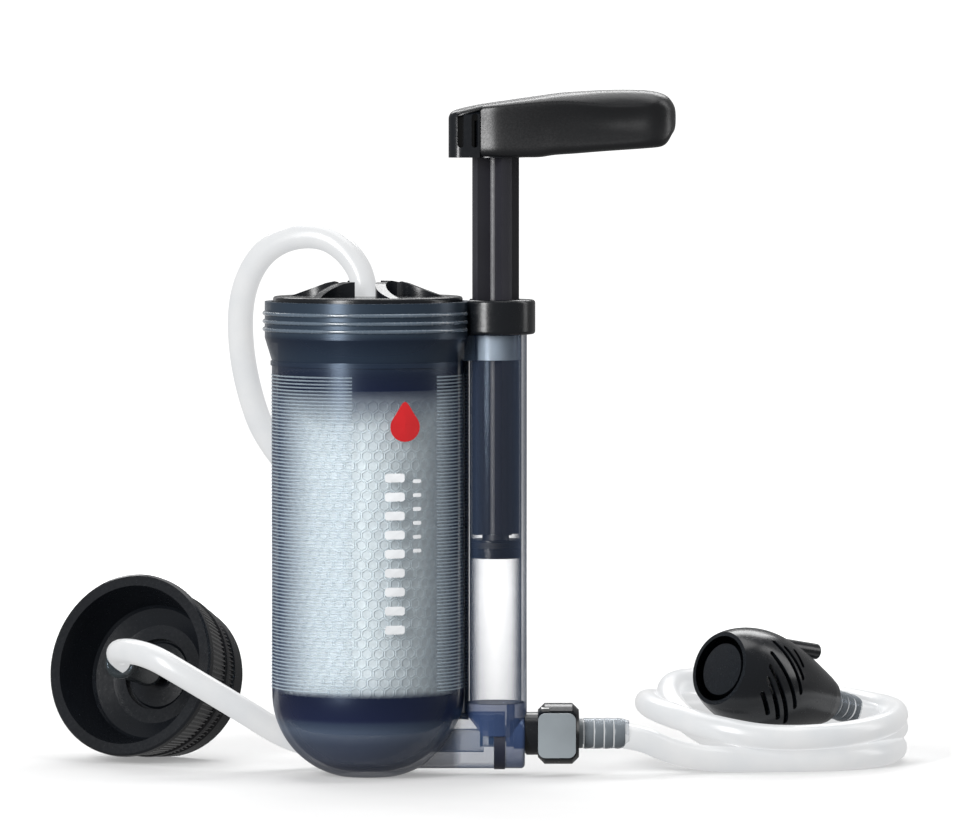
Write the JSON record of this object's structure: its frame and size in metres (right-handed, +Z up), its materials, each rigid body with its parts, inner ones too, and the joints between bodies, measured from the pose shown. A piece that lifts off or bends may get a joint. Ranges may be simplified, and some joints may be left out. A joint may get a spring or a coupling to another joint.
{
  "type": "pump water filter",
  "caption": "Hand pump water filter: tinted ribbed housing with cartridge, side pump with turning handle, hoses, strainer and bottle adapter.",
  "frame": {"origin": "centre of the flat under the dome of the filter housing", "axes": "+Z up the housing's axis, +X from the housing towards the pump, the front is -Y"},
  "size_m": [0.2611, 0.116, 0.2042],
  "materials": {
    "tinted": "transparent tinted moulding",
    "clear": "transparent tinted moulding",
    "black": "satin moulded plastic",
    "grip": "soft matt over-mould",
    "grey": "satin moulded plastic",
    "hose": "milky translucent soft tube",
    "media": "pleated fibre sheet",
    "sleeve": "white mesh",
    "carbon": "pressed carbon",
    "navy": "dark blue moulding",
    "seal": "soft seal",
    "steel": "stainless",
    "bush": "pale natural plastic"
  },
  "bodies": {
    "housing": {"filter_housing": "tinted", "foot_seal_ring": "seal", "valve_block": "tinted", "outlet_valve_cage": "navy", "cartridge_top_cap": "navy", "cartridge_o_ring": "seal", "cartridge_bottom_cap": "navy", "pleated_media": "media", "protector_sleeve": "sleeve", "carbon_core": "carbon", "core_tube": "bush", "outlet_barb": "black", "outlet_o_ring": "seal", "pump_cylinder": "clear", "pump_top_cap": "black", "rod_guide": "bush", "rod_wiper": "seal", "connector_body": "black", "latch_spring": "steel", "hose_insert": "grey", "insert_o_ring": "seal", "adapter_cup": "black", "adapter_barb": "black", "adapter_gasket": "seal", "prefilter_body": "black", "prefilter_weight": "black", "prefilter_screen": "steel", "prefilter_barb": "grey", "prefilter_float_peg": "black", "outlet_hose": "hose", "inlet_hose_lead": "hose", "inlet_hose_tail": "hose", "inlet_hose_coil": "hose"},
    "cap": {"housing_cap": "black", "cap_gasket": "seal"},
    "piston": {"piston_head": "black", "piston_o_ring": "seal"},
    "handle": {"piston_rod": "black", "handle_core": "black", "handle_grip": "grip", "handle_screw": "steel"},
    "latch": {"thumb_latch": "grey"},
    "inlet_valve": {"inlet_valve_disc": "seal"},
    "outlet_valve": {"outlet_valve_disc": "seal"}
  },
  "joints": [
    {"name": "pump_stroke", "type": "slide", "parent": "housing", "child": "piston", "axis": [0, 0, 1], "range_m": [-0.0405, 0.052]},
    {"name": "handle_turn", "type": "hinge", "parent": "piston", "child": "handle", "pos_m": [0.038, 0, 0.19], "axis": [0, 0, 1], "range_deg": [-90, 90]},
    {"name": "cap_turn", "type": "hinge", "parent": "housing", "child": "cap", "pos_m": [0, 0, 0.1428], "axis": [0, 0, 1], "range_deg": [0, 360]},
    {"name": "latch_press", "type": "slide", "parent": "housing", "child": "latch", "axis": [0, 1, 0], "range_m": [0, 0.0016], "stiffness_N_per_m": 600, "springref_m": -0.0008, "deforming": ["latch_spring"]},
    {"name": "outlet_valve_lift", "type": "slide", "parent": "housing", "child": "outlet_valve", "axis": [-1, 0, 0], "range_m": [0, 0.0012]},
    {"name": "inlet_valve_lift", "type": "slide", "parent": "housing", "child": "inlet_valve", "axis": [-1, 0, 0], "range_m": [0, 0.0009]}
  ]
}
